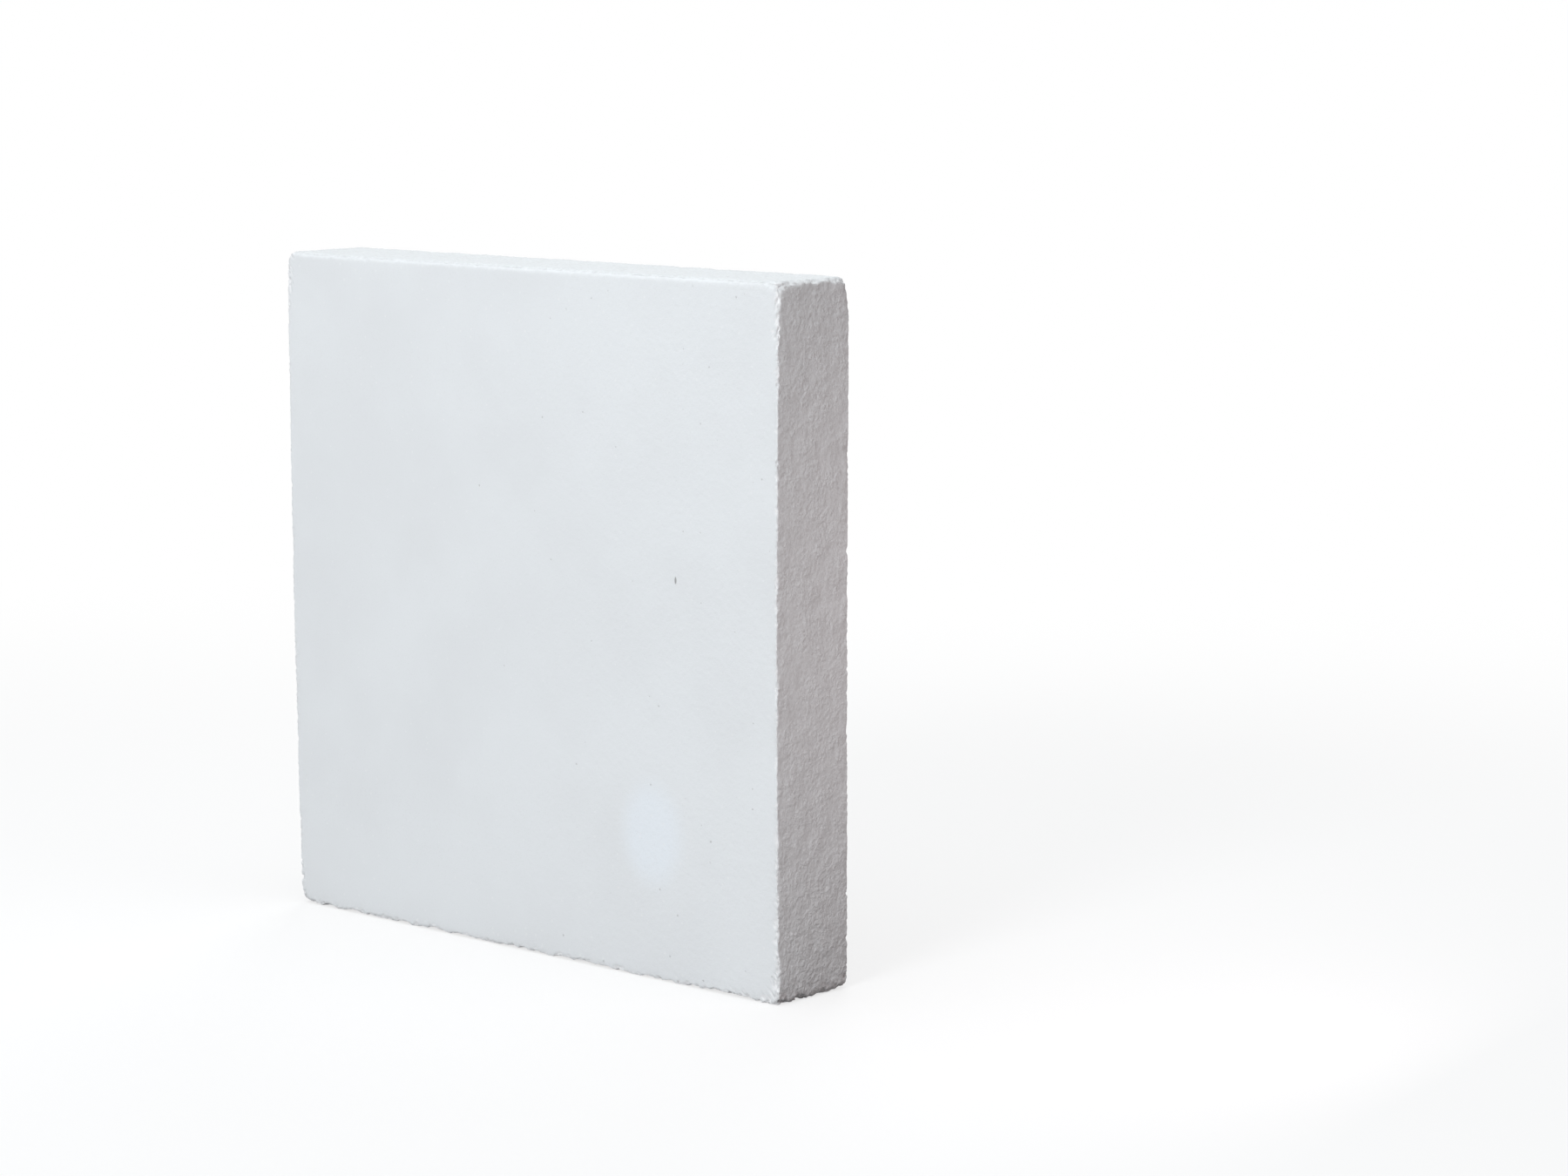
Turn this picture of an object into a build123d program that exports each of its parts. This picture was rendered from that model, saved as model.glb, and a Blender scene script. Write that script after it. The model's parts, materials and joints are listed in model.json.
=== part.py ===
"""Refractory oven slab: one square plate of pressed and fired white fireclay.

The slab is a single solid. Its outline is a square with slightly rounded
corners, pressed to one thickness, and the arrises round both large faces are
eased. It stands on one of its narrow edges.

Frame, in millimetres: X runs along the width, Y through the thickness and Z up.
The oven face looks along -Y and the bed face along +Y. The origin is the middle
of the edge that the slab stands on.
"""

import os

from build123d import *

# Driving dimensions
slab_width = 400.0
slab_height = 400.0
slab_thickness = 60.0
corner_radius = 4.0
arris_radius = 1.5


def face_outline():
    """The outline of the large faces, standing on the ground line with its four corners rounded."""
    outline = RectangleRounded(
        slab_width, slab_height, corner_radius, align=(Align.CENTER, Align.MIN)
    )
    return Plane.XZ * outline


def oven_slab():
    """The outline pressed to the slab's thickness about its middle plane, with both faces' arrises eased."""
    pressed = extrude(face_outline(), amount=slab_thickness / 2, both=True)
    large_faces = pressed.faces().filter_by(Axis.Y)
    return fillet(large_faces.edges(), arris_radius)


os.makedirs("parts", exist_ok=True)
export_step(oven_slab(), "parts/oven_slab.step")
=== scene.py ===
"""Dresses the refractory oven slab: a pressed and fired fireclay plate with grainy edges and worn arrises.

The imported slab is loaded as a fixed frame. One operator lays the fired skin over it, a single closed mesh
worked out with numpy, and another sets a plain studio round it. Lengths are in metres in the slab's own
frame: X along the width, Y through the thickness and Z up. The oven face looks along -Y, and the slab stands
on its lower narrow edge.
"""

import itertools
import json
import math

import bpy
import numpy as np
from mathutils import Euler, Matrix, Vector


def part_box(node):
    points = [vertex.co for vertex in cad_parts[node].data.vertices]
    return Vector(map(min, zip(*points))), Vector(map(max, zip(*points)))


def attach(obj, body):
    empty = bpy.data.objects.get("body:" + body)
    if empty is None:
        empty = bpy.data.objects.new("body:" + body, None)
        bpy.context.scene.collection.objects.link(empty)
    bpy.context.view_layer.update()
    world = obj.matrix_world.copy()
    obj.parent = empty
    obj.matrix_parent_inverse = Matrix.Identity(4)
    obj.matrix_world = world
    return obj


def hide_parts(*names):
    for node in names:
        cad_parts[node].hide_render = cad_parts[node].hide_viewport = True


bl_info = {
    "name": "Refractory oven slab",
    "version": (1, 0, 0),
    "blender": (4, 5, 0),
    "location": "View3D > Sidebar > Oven slab",
    "description": "Builds the fired skin of an oven slab and a plain studio round it",
    "category": "Add Mesh",
}

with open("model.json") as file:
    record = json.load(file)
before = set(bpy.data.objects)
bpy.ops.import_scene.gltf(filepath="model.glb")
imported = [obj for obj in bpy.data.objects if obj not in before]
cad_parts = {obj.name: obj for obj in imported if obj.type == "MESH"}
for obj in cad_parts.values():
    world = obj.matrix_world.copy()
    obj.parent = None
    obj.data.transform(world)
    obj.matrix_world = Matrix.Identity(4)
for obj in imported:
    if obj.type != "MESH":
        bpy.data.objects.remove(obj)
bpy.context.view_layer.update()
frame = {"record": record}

MM = 0.001

# The pressed slab, as the frame holds it
slab_low, slab_high = (np.array(corner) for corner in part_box("oven_slab"))
slab_half = (slab_high - slab_low) / 2
slab_middle = (slab_high + slab_low) / 2
fired_tone = next(m["base_color"] for m in frame["record"]["materials"] if m["slot"] == "fireclay")

# How finely the skin is divided: most finely along the arrises, less on the edges and least on the faces
SIDE_STEPS = 496
EDGE_RATIO = 2
GRID_RATIO = 8
EDGE_ROWS = 33
ARRIS_STEPS = 4
FACE_BORDER = np.array([7.2, 4.8, 3.2, 2.1, 1.3, 0.6]) * MM
EDGE_BORDER = np.array([0.7, 1.5, 2.4]) * MM
EDGE_START = 4.0 * MM
GRID_INSET = 12.5 * MM
CORNER_EASE = 0.15

# Noise
HASH_WORDS = np.array([0x9E3779B1, 0x85EBCA77, 0xC2B2AE3D], dtype=np.uint32)
HASH_SEED = 0x27D4EB2F
HASH_TURNS = ((15, 0x2C1B3C6D), (12, 0x297A2D39))
LAST_SHIFT = np.uint32(15)
NOISE_GAIN = 1.9
STEP_GAIN = 2.2
TINY = 1e-12
LATTICE_TURN = np.array(Euler((0.55, 0.85, 0.35)).to_matrix())

# Seeds, one for each thing that is left to chance
GRAIN_SEED = 11
PIT_SEED = 101
SWELL_SEED = 201
WEAR_SEED = 301
CRUMB_SEED = 401
CHIP_SEED = 7


def length(name, description, default):
    """A size in metres that the user may change."""
    return bpy.props.FloatProperty(
        name=name, description=description, default=default, min=0.0, precision=5, unit="LENGTH"
    )


def tone(name, description, default):
    """A colour that the user may change."""
    return bpy.props.FloatVectorProperty(
        name=name, description=description, default=default, min=0.0, max=1.0, size=3, subtype="COLOR"
    )


def power(name, description, default):
    """The power of a lamp in watts."""
    return bpy.props.FloatProperty(
        name=name, description=description, default=default, min=0.0, unit="POWER"
    )


class SlabShape(bpy.types.PropertyGroup):
    """Sizes of the fired skin."""

    arris_radius: length("Arris radius", "Rounding between a large face and the edges", 0.7 * MM)
    corner_radius: length("Corner radius", "Rounding of the outline's corners", 1.8 * MM)
    edge_relief: length("Edge relief", "Height of the grain on the narrow edges", 0.45 * MM)
    edge_grain: length("Edge grain", "Width of a coarse grain on the narrow edges", 3.6 * MM)
    edge_swell: length("Edge swell", "Height of the slow waves on the narrow edges", 0.6 * MM)
    foot_relief: length("Foot relief", "Height of the ragged edge on which the slab stands", 1.25 * MM)
    pit_depth: length("Pit depth", "Depth of the largest pits in the narrow edges", 0.5 * MM)
    pit_spacing: length("Pit spacing", "Distance between neighbouring pits", 10 * MM)
    face_swell: length("Face swell", "Height of the slow waves on the large faces", 0.2 * MM)
    crumble: length("Crumble", "Depth of the flakes lost beside the arrises", 0.6 * MM)
    arris_wear: length("Arris wear", "Usual width of the worn strip along an arris", 1.1 * MM)
    head_rounding: length("Head rounding", "Rounding of the oven face at the head", 3.6 * MM)
    left_rounding: length("Left rounding", "Rounding of the oven face on the left", 1.6 * MM)
    crown: length("Crown", "How far the oven face falls back from mid height to head and foot", 1.5 * MM)
    hollow: length("Hollow", "How far the bed face sinks in at mid height", 0.8 * MM)
    lean: length("Lean", "How far the left edge leans in at the foot", 3.6 * MM)
    chip_count: bpy.props.IntProperty(
        name="Chips", description="Small chips knocked out of the arrises", default=160, min=0
    )


class SlabFinish(bpy.types.PropertyGroup):
    """Colours of the fired clay, and the painted shade in its hollows."""

    fired: tone("Fired clay", "Main colour of the fired clay", fired_tone)
    cloud: tone("Clouding", "Colour of the broad, slightly duller clouds", (0.735, 0.752, 0.762))
    speck: tone("Specks", "Colour of the fine darker grain", (0.66, 0.665, 0.665))
    grog: tone("Grog", "Colour of the pale crushed grains in the clay", (0.82, 0.83, 0.83))
    # The pores' tone is painted shade: the dark inside open pores, pits and flake hollows, where shade falls
    pore_shade: tone("Pores", "Colour inside the open pores", (0.30, 0.29, 0.285))
    edge: tone("Edge clay", "Colour of the rough clay on the narrow edges", (0.746, 0.76, 0.767))
    fresh: tone("Fresh clay", "Colour of the clay where an arris is rubbed off", (0.88, 0.88, 0.885))
    bloom: tone("Bloom", "Colour of the faint salt bloom on the oven face", (0.775, 0.815, 0.85))


class SlabStage(bpy.types.PropertyGroup):
    """Camera and light."""

    lens: bpy.props.FloatProperty(
        name="Lens", description="Focal length", default=94.0, min=1.0, unit="CAMERA"
    )
    azimuth: bpy.props.FloatProperty(
        name="Azimuth",
        description="How far the camera stands round to the right of the oven face",
        default=math.radians(42.0434),
        subtype="ANGLE",
    )
    pitch: bpy.props.FloatProperty(
        name="Pitch",
        description="How far the camera looks down",
        default=math.radians(8.2488),
        subtype="ANGLE",
    )
    distance: length("Distance", "From the camera to the point it aims at", 2.3859)
    aim: bpy.props.FloatVectorProperty(
        name="Aim",
        description="The point in the middle of the picture",
        default=(0.0964, 0.0907, 0.2107),
        subtype="XYZ",
        unit="LENGTH",
    )
    key_power: power("Key power", "Power of the lamp in front of the oven face", 54.8)
    low_power: power("Low power", "Power of the low lamp that lights the foot", 5.0)
    panel_power: power("Panel power", "Power of the soft panel overhead", 19.2)
    fill_power: power("Fill power", "Power of the weak lamp on the right", 0.4)
    back_power: power("Back power", "Power of the lamp behind the slab", 22.0)
    key: tone("Key", "Colour of the lamp in front", (0.962, 0.975, 1.0))
    panel: tone("Panel", "Colour of the panel overhead", (0.92, 0.97, 1.0))
    fill: tone("Fill", "Colour of the weak lamp on the right", (1.0, 0.83, 0.825))
    back: tone("Back", "Colour of the lamp behind", (1.0, 1.0, 1.0))
    sky: bpy.props.FloatProperty(
        name="Sky", description="Strength of the even light from all round", default=0.16, min=0.0
    )
    floor: tone("Floor", "Colour of the floor in the picture", (0.95, 0.95, 0.95))
    bounce: tone("Bounce", "Colour that the floor throws back on the slab", (0.17, 0.17, 0.17))
    card: tone("Card", "Colour that the floor in front of the slab throws back", (0.5, 0.5, 0.5))
    shadow: bpy.props.FloatProperty(
        name="Shadow",
        description="How much of the slab's shadow shows on the floor",
        default=0.3,
        min=0.0,
        max=1.0,
    )


# Noise on the skin


def lattice_share(lattice, seed):
    """A repeatable number from 0 to 1 for each lattice point: its three whole coordinates, each times an
    odd word, are joined with the seed, and the bits are mixed by shifts and products."""
    words = lattice.astype(np.uint32) * HASH_WORDS
    bits = words[..., 0] ^ words[..., 1] ^ words[..., 2] ^ np.uint32(seed * HASH_SEED % 2**32)
    for shift, factor in HASH_TURNS:
        bits = (bits ^ (bits >> np.uint32(shift))) * np.uint32(factor)
    return (bits ^ (bits >> LAST_SHIFT)) / 2**32


def grain_noise(points, cell, seed):
    """Gradient noise from about -1 to 1. Each point of a turned lattice, one cell apart, holds a random
    slope. The value is the eight nearest slopes, each times the way from its lattice point, blended along
    each axis by the fade 6t^5 - 15t^4 + 10t^3."""
    spots = points @ LATTICE_TURN / cell
    corner = np.floor(spots).astype(np.int64)
    part = spots - corner
    fade = part**3 * (part * (6 * part - 15) + 10)
    total = np.zeros(len(points))
    for step in itertools.product((0, 1), repeat=3):
        slopes = [lattice_share(corner + step, seed + axis) for axis in range(3)]
        rise = ((2 * np.stack(slopes, axis=1) - 1) * (part - step)).sum(axis=1)
        total += rise * np.where(step, fade, 1 - fade).prod(axis=1)
    return np.clip(total * NOISE_GAIN, -1, 1)


def layered_noise(points, cell, layers, seed):
    """Grain noises added up, each with half the cell and half the height of the one before."""
    shares = 0.5 ** np.arange(layers)
    total = sum(s * grain_noise(points, cell * s, seed + 10 * i) for i, s in enumerate(shares))
    return total / shares.sum()


# Where a pit lies in its cube and how large it is, in cubes, and how many cubes hold one
PIT_MARGIN = 0.2
PIT_RADIUS = 0.2
PIT_SPREAD = 0.2
PIT_SHARE = 0.15


def pit_bowls(points, cell, seed):
    """Depth from 0 to 1 of scattered round pits. A share of the cubes of a lattice hold one pit each, off
    the cube's middle and of random radius r, and at distance d from it the bowl is (1 - d^2 / r^2)^2."""
    cube = np.floor(points / cell).astype(np.int64)
    depth = np.zeros(len(points))
    for step in itertools.product((-1, 0, 1), repeat=3):
        near = cube + step
        shift = np.stack([lattice_share(near, seed + axis) for axis in range(3)], axis=1)
        centre = (near + PIT_MARGIN + (1 - 2 * PIT_MARGIN) * shift) * cell
        radius = cell * (PIT_RADIUS + PIT_SPREAD * lattice_share(near, seed + 3))
        held = lattice_share(near, seed + 4) < PIT_SHARE
        reach = ((points - centre) ** 2).sum(axis=1) / radius**2
        depth = np.maximum(depth, held * np.clip(1 - reach, 0, 1) ** 2)
    return depth


# The pressed form


def eased(share):
    """Places from -1 to 1 along a side, closer together at both ends: 2 (t - e sin(2 pi t) / 2 pi) - 1."""
    return 2 * (share - CORNER_EASE * np.sin(2 * np.pi * share) / (2 * np.pi)) - 1


def outline_walk(steps):
    """A walk round the square from -1 to 1: along the foot, up the right, back along the head and down the
    left."""
    along = eased(np.arange(steps) / steps)
    full = np.ones(steps)
    return np.concatenate([along, full, -along, -full]), np.concatenate([-full, along, full, -along])


def arris_rows(arris):
    """The section from the border of a large face, round its arris of radius a and on to the border of the
    edge. It gives each ring's inset from the outline, its depth below the face and its tilt q, from none on
    the face to a quarter turn on the edge. Round the arris they are a (1 - sin q) and a (1 - cos q)."""
    turn = np.linspace(0, np.pi / 2, ARRIS_STEPS + 1)
    on_face = np.zeros(len(FACE_BORDER))
    on_edge = np.zeros(len(EDGE_BORDER))
    inset = np.concatenate([arris + FACE_BORDER, arris * (1 - np.sin(turn)), on_edge])
    depth = np.concatenate([on_face, arris * (1 - np.cos(turn)), arris + EDGE_BORDER])
    tilt = np.concatenate([on_face, turn, on_edge + np.pi / 2])
    return inset, depth, tilt


def rings(steps, inset, through, tilt, corner_radius):
    """Rings carried round the outline, each at its inset i, its place through the thickness and its tilt.
    The outline of a ring is the square drawn in by i, and within r - i of its corners each point is moved on
    to the arc of that radius. The tilt turns the normal from the oven face to the edge and on to the bed
    face."""
    across, up = outline_walk(steps)
    inset, through, tilt = (row[:, None] for row in (inset, through, tilt))
    half_width = slab_half[0] - inset
    half_height = slab_half[2] - inset
    rounding = np.maximum(corner_radius - inset, 0)
    core_x = np.clip(across * half_width, rounding - half_width, half_width - rounding)
    core_z = np.clip(up * half_height, rounding - half_height, half_height - rounding)
    out_x = across * half_width - core_x
    out_z = up * half_height - core_z
    reach = np.maximum(np.hypot(out_x, out_z), TINY)
    out_x = out_x / reach
    out_z = out_z / reach
    level = np.zeros_like(out_x)
    points = np.stack([core_x + rounding * out_x, through + level, core_z + rounding * out_z], axis=-1)
    normals = np.stack([np.sin(tilt) * out_x, level - np.cos(tilt), np.sin(tilt) * out_z], axis=-1)
    return points + slab_middle, normals, np.sin(tilt) ** 2 + level


def face_sheet(facing):
    """A square grid on one large face: x and z are the eased places times half the sheet, and y is the
    face."""
    lines = eased(np.arange(SIDE_STEPS // GRID_RATIO + 1) * GRID_RATIO / SIDE_STEPS)
    heights = lines * (slab_half[2] - GRID_INSET)
    up, across = np.meshgrid(heights, lines * (slab_half[0] - GRID_INSET), indexing="ij")
    level = np.zeros_like(across)
    points = np.stack([across, level + facing * slab_half[1], up], axis=-1)
    normals = np.stack([level, level + facing, level], axis=-1)
    return points + slab_middle, normals, level


def pressed_blocks(shape):
    """The pressed form in five blocks of points, normals and share of edge, from the oven face to the bed
    face: sheet, strip round the arris, strip round the edges, strip round the other arris and sheet."""
    half = slab_half[1]
    inset, depth, tilt = arris_rows(shape.arris_radius)
    edge = np.linspace(EDGE_START - half, half - EDGE_START, EDGE_ROWS)
    radius = shape.corner_radius
    return [
        face_sheet(-1),
        rings(SIDE_STEPS, inset, depth - half, tilt, radius),
        rings(SIDE_STEPS // EDGE_RATIO, 0 * edge, edge, 0 * edge + np.pi / 2, radius),
        rings(SIDE_STEPS, inset[::-1], half - depth[::-1], np.pi - tilt[::-1], radius),
        face_sheet(1),
    ]


def sheet_rim(index):
    """The rim of a grid of indices in the order of the outline's walk."""
    return np.concatenate([index[0, :-1], index[:-1, -1], index[-1, :0:-1], index[:0:-1, 0]])


def stitches(fine, coarse):
    """Triangles between a fine ring and a coarse one on its left. Of the fine steps to each coarse step, the
    first half fan to its start, the others to its end, and one triangle fills the middle."""
    ratio = len(fine) // len(coarse)
    half = ratio // 2
    run = [np.roll(fine, -k)[::ratio] for k in range(ratio + 1)]
    end = np.roll(coarse, -1)
    fans = [np.stack([run[k], run[k + 1], coarse if k < half else end], axis=1) for k in range(ratio)]
    return np.concatenate([*fans, np.stack([run[half], end, coarse], axis=1)])


def grid_quads(index):
    """The four-sided faces between the neighbours of a grid of indices."""
    corners = [index[:-1, :-1], index[:-1, 1:], index[1:, 1:], index[1:, :-1]]
    return np.stack(corners, axis=-1).reshape(-1, 4)


def strip_quads(index):
    """The four-sided faces between the rings of a closed strip."""
    return grid_quads(np.concatenate([index, index[:, :1]], axis=1))[:, ::-1]


def skin_faces(grids):
    """The faces over the five blocks, which share no points, and the stitches that join them."""
    counts = [math.prod(grid) for grid in grids]
    starts = np.cumsum([0, *counts[:-1]])
    sheet, strip, edge, far_strip, far_sheet = (
        start + np.arange(count).reshape(grid) for start, count, grid in zip(starts, counts, grids)
    )
    quads = [grid_quads(sheet), strip_quads(strip), strip_quads(edge), strip_quads(far_strip)]
    quads.append(grid_quads(far_sheet)[:, ::-1])
    triangles = [
        stitches(strip[0], sheet_rim(sheet)),
        stitches(strip[-1], edge[0])[:, ::-1],
        stitches(far_strip[0], edge[-1]),
        stitches(far_strip[-1], sheet_rim(far_sheet))[:, ::-1],
    ]
    return np.concatenate(quads).tolist() + np.concatenate(triangles).tolist()


# Firing and wear


def rooms(points):
    """Distances from each point to the nearer plane of each of the slab's three pairs."""
    return slab_half - np.abs(points - slab_middle)


def stepped(noise):
    """Noise pushed towards 0 and 1, so that it changes in steps."""
    return np.clip(0.5 + STEP_GAIN * noise, 0, 1)


# How far the crumbling reaches from the arrises, the corners and the head, and the width of its patches
CRUMB_REACH = 2.2 * MM
CORNER_CRUMB_REACH = 12 * MM
HEAD_REACH = 5 * MM
HEAD_END = 15 * MM
CRUMB_PATCH = 26 * MM
FLAKE_WIDTH = 2.1 * MM


def crumbling(points):
    """How crumbly the clay is, from 0 to about 1.5: it fades with the distance to the nearest arris, the
    second smallest of the rooms, comes in patches, is worst near the corners and slight along the head."""
    room = rooms(points)
    arris_gap = np.sort(room, axis=1)[:, 1]
    corner_gap = np.linalg.norm(room, axis=1)
    patches = 0.35 + 0.7 * grain_noise(points, CRUMB_PATCH, CRUMB_SEED + 10)
    patches = np.clip(patches + np.exp(-corner_gap / CORNER_CRUMB_REACH), 0.05, 1.5)
    head = np.exp((points[:, 2] - slab_high[2]) / HEAD_REACH) * (1 - np.exp(-room[:, 0] / HEAD_END))
    return np.exp(-arris_gap / CRUMB_REACH) * patches * (1 - 0.7 * head)


# Width of the waves on the narrow edges, the steps of the ragged foot and the waves on the large faces
EDGE_WAVE = 15 * MM
FOOT_STEP = 13 * MM
FACE_WAVE = 70 * MM
LAYERS = 3

# How deep below its plane a surface that is sunk takes the clay with it
SINK_REACH = 9 * MM


def edge_depth(points, shape):
    """How far the narrow edges are sunk: the relief times ((1 - grain) / 2)^2, rougher towards the foot, the
    pits, and a swell times ((1 - slow wave) / 2)^2."""
    height = (points[:, 2] - slab_low[2]) / (slab_high[2] - slab_low[2])
    roughness = 0.9 + 0.4 * (1 - height) ** 3
    grain = grain_noise(points, shape.edge_grain, GRAIN_SEED)
    waves = grain_noise(points, EDGE_WAVE, SWELL_SEED + 40)
    pits = pit_bowls(points, shape.pit_spacing, PIT_SEED)
    relief = shape.edge_relief * roughness * ((1 - grain) / 2) ** 2
    return relief + shape.pit_depth * pits + shape.edge_swell * ((1 - waves) / 2) ** 2


def end_depth(points, shape):
    """How far the head and the foot are sunk: like the other edges, and the foot also by ragged steps."""
    ragged = stepped(layered_noise(points, FOOT_STEP, LAYERS, CRUMB_SEED + 20))
    return edge_depth(points, shape) + shape.foot_relief * ragged * (points[:, 2] < slab_middle[2])


def face_depth(points, shape):
    """How far the large faces are sunk: a swell times (1 - slow wave) / 2."""
    return shape.face_swell * (1 - layered_noise(points, FACE_WAVE, LAYERS, SWELL_SEED)) / 2


def fired_surface(points, shape):
    """Sinks the edges and the faces. A point at distance d below a plane moves in by the depth at its foot
    on that plane, times (1 - d / reach)^2, so that the arrises go along with both of their planes."""
    side = np.sign(points - slab_middle)
    planes = slab_middle + side * slab_half
    room = rooms(points)
    sunk = points.copy()
    for axis, depth in ((0, edge_depth), (1, face_depth), (2, end_depth)):
        foot = points.copy()
        foot[:, axis] = planes[:, axis]
        share = np.clip(1 - room[:, axis] / SINK_REACH, 0, 1) ** 2
        sunk[:, axis] -= side[:, axis] * share * depth(foot, shape)
    return sunk


# How far each corner is worn round: left or right, oven or bed side, foot or head
WORN_CORNERS = {
    (-1, -1, -1): 5.0 * MM,
    (-1, -1, 1): 5.0 * MM,
    (-1, 1, -1): 2.0 * MM,
    (-1, 1, 1): 1.0 * MM,
    (1, -1, -1): 3.0 * MM,
    (1, -1, 1): 6.5 * MM,
    (1, 1, -1): 3.6 * MM,
    (1, 1, 1): 7.0 * MM,
}

# How the arrises are worn: how much more or less than usual, how much more at the corners, how evenly from
# 0 to 1, and at what slant between their two planes
NEAR_WEAR = (0.62, 3.0, 0.15, -0.3)
BED_WEAR = (0.5, 0.8, 0.6, 0.0)
LONG_HEAD_WEAR = (0.12, 0.8, 0.7, 0.0)
LONG_FOOT_WEAR = (0.8, 0.8, 0.2, 0.45)
SHORT_HEAD_WEAR = (1.75, 0.6, 0.65, -0.3)
SHORT_FOOT_WEAR = (1.6, 0.8, 0.2, 0.3)

# Width of the nicks, teeth and turns along an arris, how far the corners' wear reaches, and the depth of
# wear at which the clay is wholly fresh
NICK_WIDTH = 7 * MM
TOOTH_WIDTH = 2.3 * MM
TURN_WIDTH = 6 * MM
CORNER_WEAR_REACH = 22 * MM
FRESH_DEPTH = 0.5 * MM


def worn_arrises(points, shape):
    """Rubs down the arrises. With a and b a point's distances to two neighbouring planes of the slab, and p
    and q two weights near 1 that change along the arris, a p + b q has to reach the wear, and where it falls
    short the point moves in along (p, q) until it does. Teeth and wider nicks, two sizes of noise, change
    the wear in steps, and it grows towards the corners. The other result is how fresh the clay is there,
    from 0 to 1, in crumbs as wide as the teeth."""
    side = np.sign(points - slab_middle)
    room = rooms(points)
    at_bed = side[:, 1:2] > 0
    at_head = side[:, 2:] > 0
    nicks = stepped(grain_noise(points, NICK_WIDTH, WEAR_SEED) - 0.12)
    teeth = stepped(grain_noise(points, TOOTH_WIDTH, WEAR_SEED + 20))
    turned = 0.4 * grain_noise(points, TURN_WIDTH, WEAR_SEED + 40)
    crumbs = 0.25 + 0.75 * teeth
    uneven = 0.1 + teeth + 1.2 * nicks * (0.4 + 0.6 * teeth)
    corner = np.exp(-np.linalg.norm(room, axis=1) / CORNER_WEAR_REACH)
    fresh = np.zeros(len(points))
    for axes, habit in (
        ([0, 1], np.where(at_bed, BED_WEAR, NEAR_WEAR)),
        ([1, 2], np.where(at_bed, BED_WEAR, np.where(at_head, LONG_HEAD_WEAR, LONG_FOOT_WEAR))),
        ([0, 2], np.where(at_head, SHORT_HEAD_WEAR, SHORT_FOOT_WEAR)),
    ):
        share, growth, even, slant = habit.T
        tilt = slant + turned * (1 - even)
        weights = np.stack([1 + tilt, 1 - tilt], axis=1)
        wear = shape.arris_wear * share * (1 + growth * corner) * (even + (1 - even) * uneven)
        lack = np.maximum(wear - (room[:, axes] * weights).sum(axis=1), 0)
        room[:, axes] += weights * (lack / (weights**2).sum(axis=1))[:, None]
        fresh = np.maximum(fresh, np.minimum(lack / FRESH_DEPTH, 1) * crumbs)
    return slab_middle + side * (slab_half - room), fresh


# How far from a corner its rounding fades, in radii, and how uneven the rounding is
CORNER_FADE = 2.2
ROUNDING_GRAIN = 3.4 * MM
ROUNDING_UNEVEN = 0.2


def rounded_off(points, shape):
    """Rounds off the corners and the oven face's arrises at the head and on the left. Round each corner the
    radius r of the rounding fades with the square of the distance from it. With s the length by which each
    plane's distance falls short of r, a point whose three s are longer together than r is drawn in until
    they are r."""
    side = np.sign(points - slab_middle)
    room = rooms(points)
    at_head = (room[:, 2] < room[:, 0]) & (side[:, 2] > 0)
    at_left = side[:, 0] < 0
    radius = np.where(at_head, shape.head_rounding, shape.left_rounding * at_left) * (side[:, 1] < 0)
    for place, reach in WORN_CORNERS.items():
        apart = np.linalg.norm(points - slab_middle - place * slab_half, axis=1)
        radius = np.maximum(radius, reach * np.exp(-((apart / (CORNER_FADE * reach)) ** 2)))
    uneven = 1 + ROUNDING_UNEVEN * grain_noise(points, ROUNDING_GRAIN, WEAR_SEED + 60)
    radius = (radius * uneven)[:, None]
    short = np.maximum(radius - room, 0)
    length_short = np.maximum(np.linalg.norm(short, axis=1, keepdims=True), TINY)
    room = np.where(short > 0, radius - short * np.minimum(radius / length_short, 1), room)
    return slab_middle + side * (slab_half - room)


# Chips that show most, on the right edge: two by the foot and one half way up
KNOCKS = np.array([(201.0, 18.5, 2.6), (201.0, -27.0, 4.0), (200.8, -30.6, 159.0)]) * MM
KNOCK_RADII = np.array([2.0, 2.2, 1.8]) * MM

# The other chips: how often they lie along each axis, the ranges of their radii and bites in millimetres
# before the bite's power, and their unevenness
CHIP_AXES = (0.45, 0.1, 0.45)
CHIP_RADII = (1.5, 5.0)
CHIP_BITES = (0.3, 1.3)
CHIP_GRAIN = 2.5 * MM
CHIP_UNEVEN = 0.25


def chip_balls(shape):
    """Centres and radii of the balls that bite the chips. Each ball of radius r stands off a random arris,
    on its outward diagonal, by r less the depth of its bite."""
    rng = np.random.default_rng(CHIP_SEED)
    count = shape.chip_count
    along = rng.choice(3, count, p=CHIP_AXES)
    side = rng.choice([-1.0, 1.0], (count, 3))
    place = rng.uniform(-1, 1, count)
    radius = rng.uniform(*CHIP_RADII, count) * MM
    bite = rng.uniform(*CHIP_BITES, count) ** 1.5 * MM
    is_along = np.arange(3) == along[:, None]
    diagonal = side / math.sqrt(2) * (radius - bite)[:, None]
    centres = slab_middle + np.where(is_along, place[:, None] * slab_half, side * slab_half + diagonal)
    return np.concatenate([centres, KNOCKS]), np.concatenate([radius, KNOCK_RADII])


def chipped(points, shape):
    """Bites the chips: a point inside a ball is moved out from its centre on to the ball, whose radius is
    made uneven by noise."""
    uneven = 1 + CHIP_UNEVEN * grain_noise(points, CHIP_GRAIN, CHIP_SEED)
    for centre, radius in zip(*chip_balls(shape)):
        away = points - centre
        gap = np.linalg.norm(away, axis=1)
        inside = gap < radius * uneven
        points[inside] += away[inside] * (radius * uneven[inside] / gap[inside] - 1)[:, None]
    return points


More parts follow.
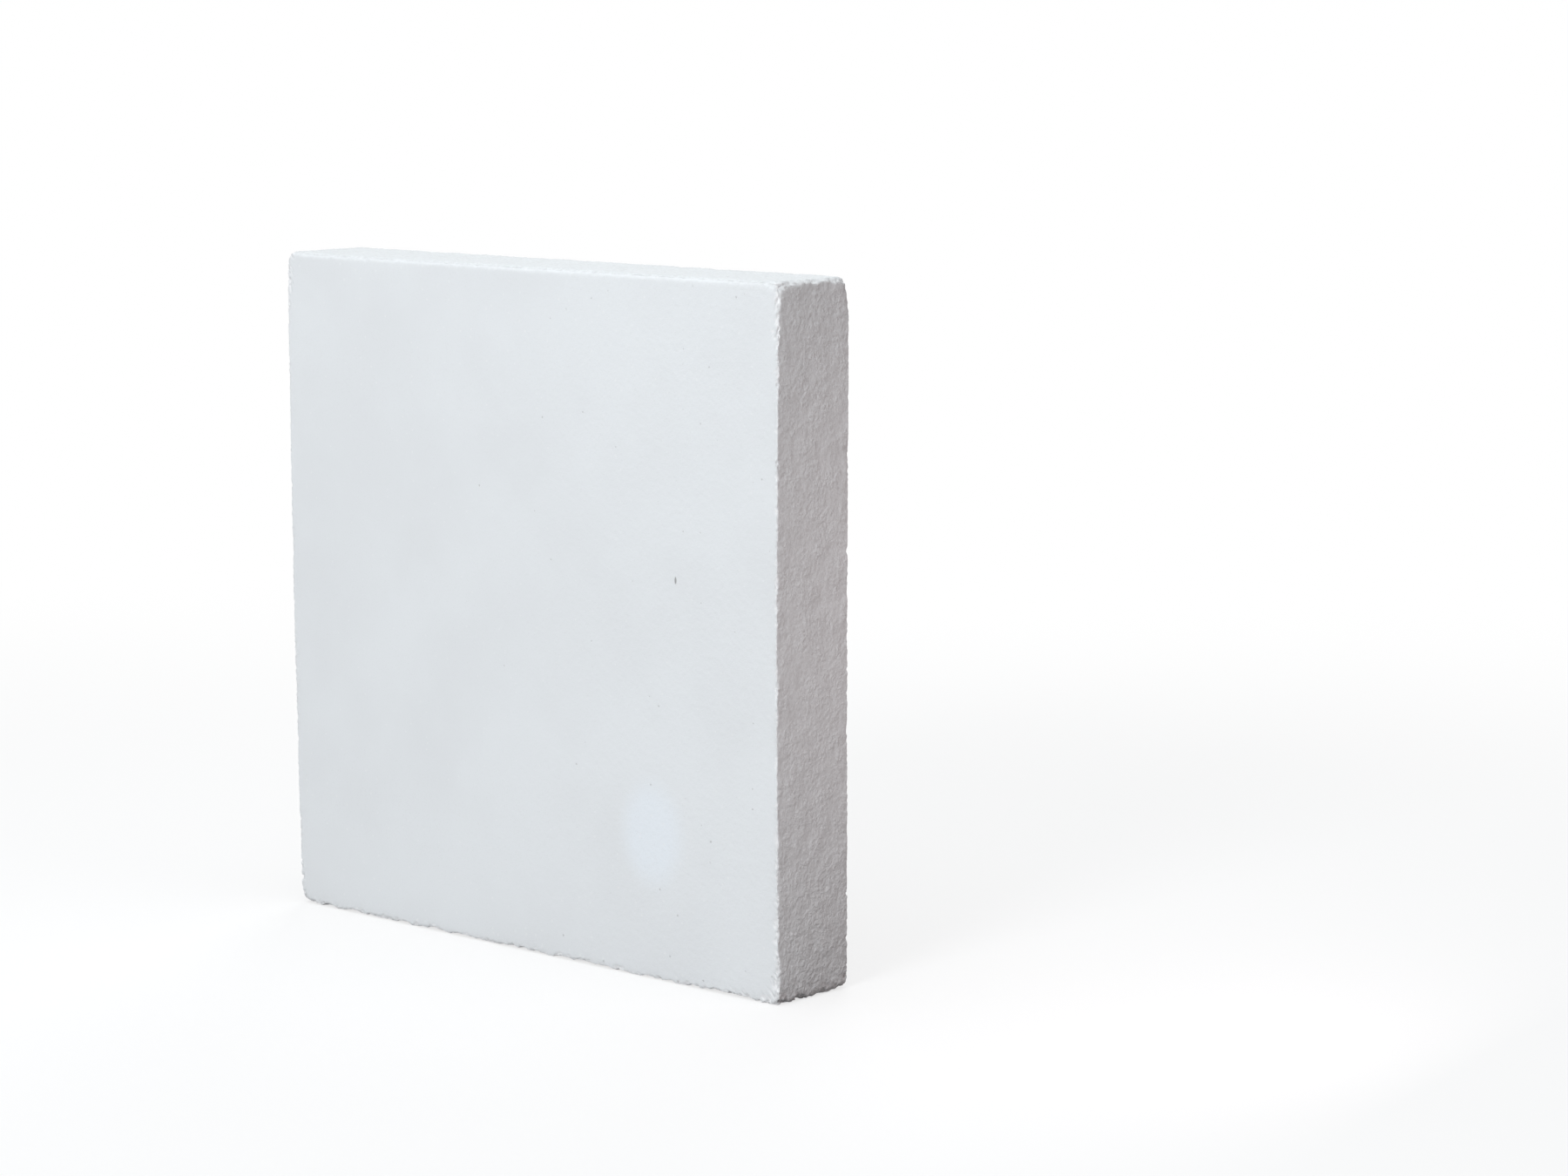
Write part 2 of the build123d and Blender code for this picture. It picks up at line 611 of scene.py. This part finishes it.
def kiln_warp(points, shape):
    """The slow bend from the kiln. With h from -1 at the foot to 1 at the head, the oven face falls back by
    the crown times h^2, the bed face sinks by the hollow times 1 - h^2, and between them it changes evenly.
    The left edge leans in by the lean times (1 - h) / 2, and the lean fades out evenly towards the right
    edge."""
    place = (points - slab_middle) / slab_half
    bend = place[:, 2] ** 2
    to_bed = (1 + place[:, 1]) / 2
    inward = shape.lean * (1 - place[:, 2]) / 2 * (1 - place[:, 0]) / 2
    back = shape.crown * bend * (1 - to_bed) - shape.hollow * (1 - bend) * to_bed
    return points + np.stack([inward, back, np.zeros_like(back)], axis=1)


def slab_skin(shape):
    """The whole skin as points, faces and attributes: pressed, worn, chipped, fired and warped."""
    blocks = pressed_blocks(shape)
    faces = skin_faces([share.shape for _, _, share in blocks])
    points, normals = (np.concatenate([block[part].reshape(-1, 3) for block in blocks]) for part in (0, 1))
    edge_share = np.concatenate([share.ravel() for _, _, share in blocks])
    rough = np.clip(edge_share + crumbling(points), 0, 1)
    # The flakes sink the surface, and their attribute also paints shade into these hollows in the material
    flakes = stepped(grain_noise(points, FLAKE_WIDTH, CRUMB_SEED)) * crumbling(points)
    points, fresh = worn_arrises(points, shape)
    points = chipped(rounded_off(points, shape), shape) - normals * shape.crumble * flakes[:, None]
    points = np.clip(kiln_warp(fired_surface(points, shape), shape), slab_low, slab_high)
    return points, faces, {"rough": rough, "flakes": flakes, "fresh": fresh}


def mesh_piece(name, points, faces, attributes, material):
    """A smooth mesh object at the origin, with one number a point for each attribute."""
    mesh = bpy.data.meshes.new(name)
    mesh.from_pydata(points, [], faces)
    for label, values in attributes.items():
        mesh.attributes.new(label, "FLOAT", "POINT").data.foreach_set("value", values.astype(np.float32))
    mesh.polygons.foreach_set("use_smooth", np.ones(len(mesh.polygons), dtype=bool))
    mesh.materials.append(material)
    mesh.validate()
    piece = bpy.data.objects.new(name, mesh)
    bpy.context.scene.collection.objects.link(piece)
    return piece


# Materials


def new_material(name):
    """A material with an empty node tree."""
    material = bpy.data.materials.new(name)
    material.use_nodes = True
    material.node_tree.nodes.clear()
    return material


def node(tree, kind, inputs=None, **settings):
    """A node with its settings made, and each input linked where a socket is given and set where a value
    is."""
    made = tree.nodes.new(kind)
    for name, value in settings.items():
        setattr(made, name, value)
    for name, value in (inputs or {}).items():
        if isinstance(value, bpy.types.NodeSocket):
            tree.links.new(value, made.inputs[name])
        else:
            made.inputs[name].default_value = value
    return made


def math_node(tree, operation, *values):
    """One sum, product or comparison of sockets and numbers."""
    return node(tree, "ShaderNodeMath", dict(enumerate(values)), operation=operation).outputs[0]


def weighed(tree, value, weight):
    """A value times a fixed weight."""
    return math_node(tree, "MULTIPLY", value, weight)


def ramp(tree, value, low, high):
    """A smooth step from 0 where the value is low to 1 where it is high."""
    inputs = {"Value": value, "From Min": low, "From Max": high}
    return node(tree, "ShaderNodeMapRange", inputs, interpolation_type="SMOOTHSTEP").outputs[0]


def blend_tone(tree, share, first, second):
    """The first colour where the share is 0 and the second where it is 1."""
    inputs = {0: share}
    for slot, colour in ((6, first), (7, second)):
        inputs[slot] = colour if isinstance(colour, bpy.types.NodeSocket) else (*colour, 1.0)
    return node(tree, "ShaderNodeMix", inputs, data_type="RGBA").outputs[2]


def noise_field(tree, place, size, detail=2.0):
    """Noise from 0 to 1 whose blotches are about the given size."""
    inputs = {"Vector": place, "Scale": 1 / size, "Detail": detail, "Roughness": 0.55}
    return node(tree, "ShaderNodeTexNoise", inputs).outputs[0]


def cell_field(tree, place, size):
    """Distance from the nearest of scattered points, in cells, and a random colour for each point."""
    found = node(tree, "ShaderNodeTexVoronoi", {"Vector": place, "Scale": 1 / size, "Randomness": 1.0})
    lot = node(tree, "ShaderNodeSeparateColor", {0: found.outputs["Color"]})
    return found.outputs["Distance"], lot.outputs


def wrung(tree, place, size, reach):
    """The place moved about by noise of the given size, up to about the reach."""
    inputs = {"Vector": place, "Scale": 1 / size, "Detail": 1.0}
    shift = node(tree, "ShaderNodeTexNoise", inputs).outputs["Color"]
    inputs = {0: shift, 1: (2 * reach,) * 3, 2: place}
    return node(tree, "ShaderNodeVectorMath", inputs, operation="MULTIPLY_ADD").outputs[0]


def spot_share(tree, place, size, radius, share):
    """Scattered round spots: 1 inside them and 0 outside. Only a share of the cells hold one, of uneven
    size."""
    distance, lot = cell_field(tree, place, size)
    reach = math_node(tree, "MULTIPLY", math_node(tree, "ADD", lot[1], 0.35), radius / size)
    inside = ramp(tree, math_node(tree, "DIVIDE", distance, reach), 1.0, 0.45)
    held = math_node(tree, "LESS_THAN", lot[0], share)
    return math_node(tree, "MULTIPLY", inside, held)


def oval_share(tree, place, centre, radii, rim):
    """1 inside an oval body and 0 outside, with a soft rim: the length of the place's way from the centre,
    each part of it over the radius on its axis, is compared with 1."""
    shifted = node(
        tree,
        "ShaderNodeMapping",
        {"Vector": place, "Location": centre, "Scale": radii},
        vector_type="TEXTURE",
    ).outputs[0]
    reach = node(tree, "ShaderNodeVectorMath", {0: shifted}, operation="LENGTH").outputs["Value"]
    return ramp(tree, reach, 1.0 + rim, 1.0 - rim)


# Marks on the oven face: the long open pore and the faint bloom
LONG_PORE = (123.9 * MM, -30 * MM, 230.5 * MM)
LONG_PORE_RADII = (0.7 * MM, 3 * MM, 1.9 * MM)
BLOOM = (104.7 * MM, -30 * MM, 84 * MM)
BLOOM_RADII = (21 * MM, 8 * MM, 27 * MM)


# Sizes of the clouds and grains in the clay, and of the spots: the width of their cells and their radius
CLOUD_SIZE = 85 * MM
FINE_GRAIN = 0.9 * MM
COARSE_GRAIN = 2.5 * MM
PRESSED_GRAIN = 4.2 * MM
BLOTCH_SIZE = 2.1 * MM
PATCH_SIZE = 12 * MM
WRING_SIZE = 1.6 * MM
WRING_REACH = 0.7 * MM
GROG_SPOTS = (4.5 * MM, 1.1 * MM)
GRAIN_SPOTS = (2.7 * MM, 1.0 * MM)
PIT_SPOTS = (3.3 * MM, 1.0 * MM)
PORE_SPOTS = (6.5 * MM, 0.9 * MM)

# Heights of the finest relief, which is left to bump
PORE_DEPTH = 0.12 * MM
LONG_PORE_DEPTH = 0.4 * MM
COARSE_GRIT = 0.65 * MM
FINE_GRIT = 0.09 * MM
SPOT_GRIT = 0.1 * MM
PRESSED_HEIGHT = 0.22 * MM
PRESSED_FINE = 0.08 * MM

# How strongly each mark colours the clay. For the pits, pores, long pore and flakes this is painted shade in
# their hollows
BLOOM_SHOWS = 0.9
FRESH_SHOWS = 0.8
SPECK_SHOWS = 0.35
GROG_SHOWS = 0.4
BLOTCH_SHOWS = 0.45
GRAIN_SHOWS = 0.35
PIT_SHADE_SHOWS = 0.07
PORE_SHADE_SHOWS = 0.35
LONG_PORE_SHADE_SHOWS = 0.75
FLAKE_SHADE_SHOWS = 0.2

# How many of the cells hold a pore, on the left and how many more on the right, and how matte the clay is
FEWEST_PORES = 0.005
MORE_PORES = 0.17
LEAST_ROUGHNESS = 0.84
ROUGHNESS_RANGE = 0.14
SHEEN = 0.25

# Where the oven face begins to be more porous and where it is most so, and how high the foot is rougher
POROUS_FROM = -120 * MM
POROUS_TO = 190 * MM
ROUGH_FOOT = 110 * MM


def fireclay(finish):
    """Matte fired clay: clouded and finely speckled, with pale grog, open pores, rough edges and a faint
    bloom. The pores, pits and flakes are darkened with painted shade."""
    material = new_material("fireclay")
    tree = material.node_tree
    place = node(tree, "ShaderNodeTexCoord").outputs["Object"]
    rough = node(tree, "ShaderNodeAttribute", attribute_name="rough").outputs["Fac"]
    flakes = node(tree, "ShaderNodeAttribute", attribute_name="flakes").outputs["Fac"]
    fresh = node(tree, "ShaderNodeAttribute", attribute_name="fresh").outputs["Fac"]
    split = node(tree, "ShaderNodeSeparateXYZ", {0: place}).outputs

    clouds = ramp(tree, noise_field(tree, place, CLOUD_SIZE, 3.0), 0.35, 0.7)
    fine = noise_field(tree, place, FINE_GRAIN)
    coarse = noise_field(tree, place, COARSE_GRAIN, 1.0)
    pressed = noise_field(tree, place, PRESSED_GRAIN, 1.0)
    crooked = wrung(tree, place, WRING_SIZE, WRING_REACH)
    blotches = ramp(tree, noise_field(tree, crooked, BLOTCH_SIZE, 1.0), 0.4, 0.65)
    grog = spot_share(tree, place, *GROG_SPOTS, 0.3)
    to_right = ramp(tree, split["X"], POROUS_FROM, POROUS_TO)
    to_foot = ramp(tree, split["Z"], ROUGH_FOOT, 0.0)
    grains = spot_share(tree, crooked, *GRAIN_SPOTS, 0.5)
    pits = spot_share(tree, crooked, *PIT_SPOTS, 0.5)
    held = math_node(tree, "ADD", weighed(tree, to_right, MORE_PORES), FEWEST_PORES)
    pores = spot_share(tree, crooked, *PORE_SPOTS, held)
    long_pore = oval_share(tree, place, LONG_PORE, LONG_PORE_RADII, 0.3)
    bloom = oval_share(tree, place, BLOOM, BLOOM_RADII, 0.4)
    small_pores = weighed(tree, pores, PORE_DEPTH)
    open_pores = math_node(tree, "ADD", small_pores, weighed(tree, long_pore, LONG_PORE_DEPTH))

    colour = blend_tone(tree, clouds, finish.fired, finish.cloud)
    colour = blend_tone(tree, weighed(tree, bloom, BLOOM_SHOWS), colour, finish.bloom)
    colour = blend_tone(tree, rough, colour, finish.edge)
    colour = blend_tone(tree, weighed(tree, fresh, FRESH_SHOWS), colour, finish.fresh)
    specks = ramp(tree, fine, 0.5, 0.85)
    colour = blend_tone(tree, weighed(tree, specks, SPECK_SHOWS), colour, finish.speck)
    colour = blend_tone(tree, weighed(tree, grog, GROG_SHOWS), colour, finish.grog)
    edge_grains = math_node(tree, "MULTIPLY", grains, rough)
    edge_pit_shade = math_node(tree, "MULTIPLY", pits, rough)
    edge_blotches = math_node(tree, "MULTIPLY", blotches, rough)
    colour = blend_tone(tree, weighed(tree, edge_blotches, BLOTCH_SHOWS), colour, finish.speck)
    colour = blend_tone(tree, weighed(tree, edge_grains, GRAIN_SHOWS), colour, finish.grog)
    # Painted shade: the edge pits, pores, long pore and flakes are darkened towards the pores' shade tone,
    # as shade inside these hollows
    colour = blend_tone(tree, weighed(tree, edge_pit_shade, PIT_SHADE_SHOWS), colour, finish.pore_shade)
    colour = blend_tone(tree, weighed(tree, pores, PORE_SHADE_SHOWS), colour, finish.pore_shade)
    colour = blend_tone(tree, weighed(tree, long_pore, LONG_PORE_SHADE_SHOWS), colour, finish.pore_shade)
    colour = blend_tone(tree, weighed(tree, flakes, FLAKE_SHADE_SHOWS), colour, finish.pore_shade)

    grit = math_node(tree, "ADD", weighed(tree, coarse, COARSE_GRIT), weighed(tree, fine, FINE_GRIT))
    grit = math_node(tree, "ADD", grit, weighed(tree, grains, SPOT_GRIT))
    grit = math_node(tree, "SUBTRACT", grit, weighed(tree, pits, SPOT_GRIT))
    patches = ramp(tree, noise_field(tree, place, PATCH_SIZE, 1.0), 0.35, 0.65)
    coarseness = math_node(tree, "ADD", weighed(tree, patches, 0.6), weighed(tree, to_foot, 0.5))
    grit = math_node(tree, "MULTIPLY", grit, math_node(tree, "ADD", coarseness, 0.5))
    fine_press = weighed(tree, fine, PRESSED_FINE)
    press_grain = math_node(tree, "ADD", weighed(tree, pressed, PRESSED_HEIGHT), fine_press)
    press_grain = math_node(tree, "MULTIPLY", press_grain, math_node(tree, "ADD", to_right, 0.2))
    grain = math_node(tree, "ADD", math_node(tree, "MULTIPLY", rough, grit), press_grain)
    height = math_node(tree, "SUBTRACT", grain, open_pores)
    bump = node(tree, "ShaderNodeBump", {"Height": height, "Distance": 1.0, "Strength": 1.0}).outputs[0]
    roughness = math_node(tree, "ADD", weighed(tree, coarse, ROUGHNESS_RANGE), LEAST_ROUGHNESS)

    shader = node(
        tree,
        "ShaderNodeBsdfPrincipled",
        {"Base Color": colour, "Roughness": roughness, "Specular IOR Level": SHEEN, "Normal": bump},
    )
    node(tree, "ShaderNodeOutputMaterial", {"Surface": shader.outputs[0]})
    return material


def seen_directly(tree):
    """1 for the camera and for what is mirrored or seen through glass, and 0 for the light on the slab."""
    path = node(tree, "ShaderNodeLightPath").outputs
    mirrored = math_node(tree, "MAXIMUM", path["Is Glossy Ray"], path["Is Transmission Ray"])
    return math_node(tree, "MAXIMUM", path["Is Camera Ray"], mirrored)


WHITE = (1.0, 1.0, 1.0)
NEAR_FLOOR = 0.45
FAR_FLOOR = 1.6
CARD_BLUR = 0.01


def studio_floor(stage):
    """A matte floor that takes the slab's shadow, lightly, and turns to plain white further off. In front of
    the slab it throws back more light, as a pale card there would."""
    material = new_material("studio_floor")
    tree = material.node_tree
    seen = seen_directly(tree)
    place = node(tree, "ShaderNodeTexCoord").outputs["Object"]
    reach = node(tree, "ShaderNodeVectorMath", {0: place}, operation="LENGTH").outputs["Value"]
    shown = math_node(tree, "MULTIPLY", ramp(tree, reach, FAR_FLOOR, NEAR_FLOOR), stage.shadow)
    white_share = math_node(tree, "MULTIPLY", math_node(tree, "SUBTRACT", 1.0, shown), seen)
    split = node(tree, "ShaderNodeSeparateXYZ", {0: place}).outputs
    before = ramp(tree, split["Y"], slab_low[1] + CARD_BLUR, slab_low[1] - CARD_BLUR)
    thrown = blend_tone(tree, before, stage.bounce, stage.card)
    matte = node(tree, "ShaderNodeBsdfDiffuse", {"Color": blend_tone(tree, seen, thrown, stage.floor)})
    white = node(tree, "ShaderNodeEmission", {"Color": (*WHITE, 1.0), "Strength": 1.0})
    shader = node(tree, "ShaderNodeMixShader", {0: white_share, 1: matte.outputs[0], 2: white.outputs[0]})
    node(tree, "ShaderNodeOutputMaterial", {"Surface": shader.outputs[0]})
    return material


def studio_sky(stage):
    """Even light from all round, seen as white."""
    world = bpy.data.worlds.new("studio_sky")
    world.use_nodes = True
    tree = world.node_tree
    tree.nodes.clear()
    seen = seen_directly(tree)
    strength = math_node(tree, "ADD", stage.sky, math_node(tree, "MULTIPLY", seen, 1 - stage.sky))
    sky = node(tree, "ShaderNodeBackground", {"Color": (*WHITE, 1.0), "Strength": strength})
    node(tree, "ShaderNodeOutputWorld", {"Surface": sky.outputs[0]})
    return world


# Operators


class SLAB_OT_fired_skin(bpy.types.Operator):
    """Lay the fired and worn skin over the pressed slab"""

    bl_idname = "oven_slab.fired_skin"
    bl_label = "Fired skin"

    def execute(self, context):
        scene = context.scene
        skin = mesh_piece("fired_slab", *slab_skin(scene.slab_shape), fireclay(scene.slab_finish))
        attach(skin, "root")
        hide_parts("oven_slab")
        return {"FINISHED"}


FLOOR_HALF = 30.0
KEY_PLACE = Vector((0.7, -3.0, 1.35))
KEY_SIZE = 1.3
PANEL_PLACE = Vector((0.0, -0.3, 1.7))
PANEL_SIZE = 2.0
LOW_PLACE = Vector((0.0, -2.0, 0.12))
LOW_SIZE = 0.5
FILL_PLACE = Vector((0.54, 0.1, 0.235))
FILL_SIZE = 0.3
BACK_PLACE = Vector((-1.2, 1.9, 1.1))
BACK_SIZE = 1.2


class SLAB_OT_stage(bpy.types.Operator):
    """Set the floor, the light and the camera"""

    bl_idname = "oven_slab.stage"
    bl_label = "Studio"

    def execute(self, context):
        scene = context.scene
        stage = scene.slab_stage
        self.lay_floor(stage)
        self.hang_lamp(scene, "key_lamp", KEY_PLACE, KEY_SIZE, stage.key_power, stage.key)
        self.hang_lamp(scene, "low_lamp", LOW_PLACE, LOW_SIZE, stage.low_power, stage.key)
        self.hang_lamp(scene, "panel_lamp", PANEL_PLACE, PANEL_SIZE, stage.panel_power, stage.panel)
        self.hang_lamp(scene, "fill_lamp", FILL_PLACE, FILL_SIZE, stage.fill_power, stage.fill)
        self.hang_lamp(scene, "back_lamp", BACK_PLACE, BACK_SIZE, stage.back_power, stage.back)
        scene.world = studio_sky(stage)
        scene.camera = self.set_camera(scene, stage)
        scene.view_settings.view_transform = "Standard"
        return {"FINISHED"}

    def lay_floor(self, stage):
        """One large square at the height of the slab's foot."""
        corners = np.array([(-1, -1, 0), (1, -1, 0), (1, 1, 0), (-1, 1, 0)]) * FLOOR_HALF
        floor = mesh_piece("studio_floor", corners, [(0, 1, 2, 3)], {}, studio_floor(stage))

    def hang_lamp(self, scene, name, place, size, watts, colour):
        """A round soft lamp turned to the middle of the slab, which itself isn't seen."""
        lamp = bpy.data.lights.new(name, "AREA")
        lamp.energy = watts
        lamp.color = colour
        lamp.shape = "DISK"
        lamp.size = size
        hung = bpy.data.objects.new(name, lamp)
        hung.visible_camera = False
        hung.location = place
        hung.rotation_euler = (place - Vector(slab_middle)).to_track_quat("Z", "Y").to_euler()
        scene.collection.objects.link(hung)

    def set_camera(self, scene, stage):
        """A camera at its distance from the aim, turned by the azimuth and tipped by the pitch."""
        lens = bpy.data.cameras.new("camera")
        lens.lens = stage.lens
        camera = bpy.data.objects.new("camera", lens)
        turn = Euler((math.pi / 2 - stage.pitch, 0.0, stage.azimuth))
        camera.rotation_euler = turn
        camera.location = Vector(stage.aim) + turn.to_matrix() @ Vector((0.0, 0.0, stage.distance))
        scene.collection.objects.link(camera)
        return camera


class SLAB_PT_sidebar(bpy.types.Panel):
    """Lists the pieces and their settings"""

    bl_idname = "SLAB_PT_sidebar"
    bl_label = "Oven slab"
    bl_space_type = "VIEW_3D"
    bl_region_type = "UI"
    bl_category = "Oven slab"

    def draw(self, context):
        for operator, settings in (
            (SLAB_OT_fired_skin, ("slab_shape", "slab_finish")),
            (SLAB_OT_stage, ("slab_stage",)),
        ):
            box = self.layout.box()
            box.operator(operator.bl_idname)
            for group in settings:
                held = getattr(context.scene, group)
                for name in held.__annotations__:
                    box.prop(held, name)


CLASSES = (SlabShape, SlabFinish, SlabStage, SLAB_OT_fired_skin, SLAB_OT_stage, SLAB_PT_sidebar)
SETTINGS = {"slab_shape": SlabShape, "slab_finish": SlabFinish, "slab_stage": SlabStage}


def register():
    """Makes the classes known and hangs their settings on the scene."""
    for made in CLASSES:
        bpy.utils.register_class(made)
    for name, group in SETTINGS.items():
        setattr(bpy.types.Scene, name, bpy.props.PointerProperty(type=group))


def unregister():
    """Takes the settings and the classes away again."""
    for name in SETTINGS:
        delattr(bpy.types.Scene, name)
    for made in reversed(CLASSES):
        bpy.utils.unregister_class(made)


def main():
    """Builds the slab and its studio."""
    register()
    bpy.ops.oven_slab.fired_skin()
    bpy.ops.oven_slab.stage()


if __name__ == "__main__":
    main()
